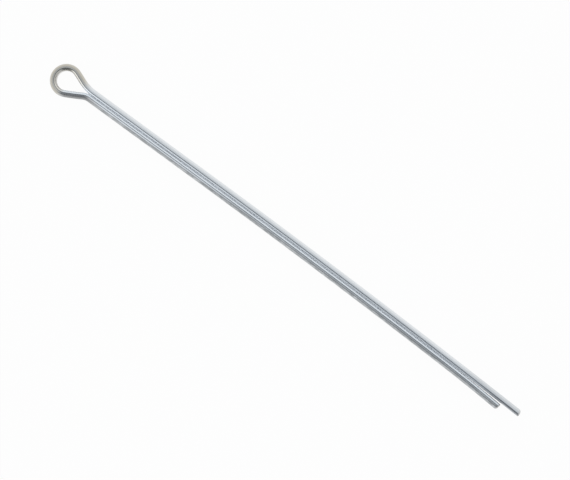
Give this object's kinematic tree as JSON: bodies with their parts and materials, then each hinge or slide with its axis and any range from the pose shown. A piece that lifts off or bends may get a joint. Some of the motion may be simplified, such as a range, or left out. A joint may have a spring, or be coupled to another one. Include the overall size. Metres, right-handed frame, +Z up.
{
  "type": "cotter pin",
  "caption": "Half-round steel wire folded into an open eye and a split round shank, with one prong longer than the other, both square cut.",
  "frame": {"origin": "on the axis of the closed shank, where the shank starts at the foot of the two necks", "axes": "+X along the shank towards the tips, +Y towards the long prong's side of the split, +Z up through the eye, with the pin lying flat"},
  "size_m": [0.1839, 0.0106, 0.004],
  "materials": {
    "zinc_steel": "zinc plated drawn wire, satin, with fine lines along the wire"
  },
  "bodies": {
    "root": {"cotter_pin": "zinc_steel"}
  },
  "joints": []
}
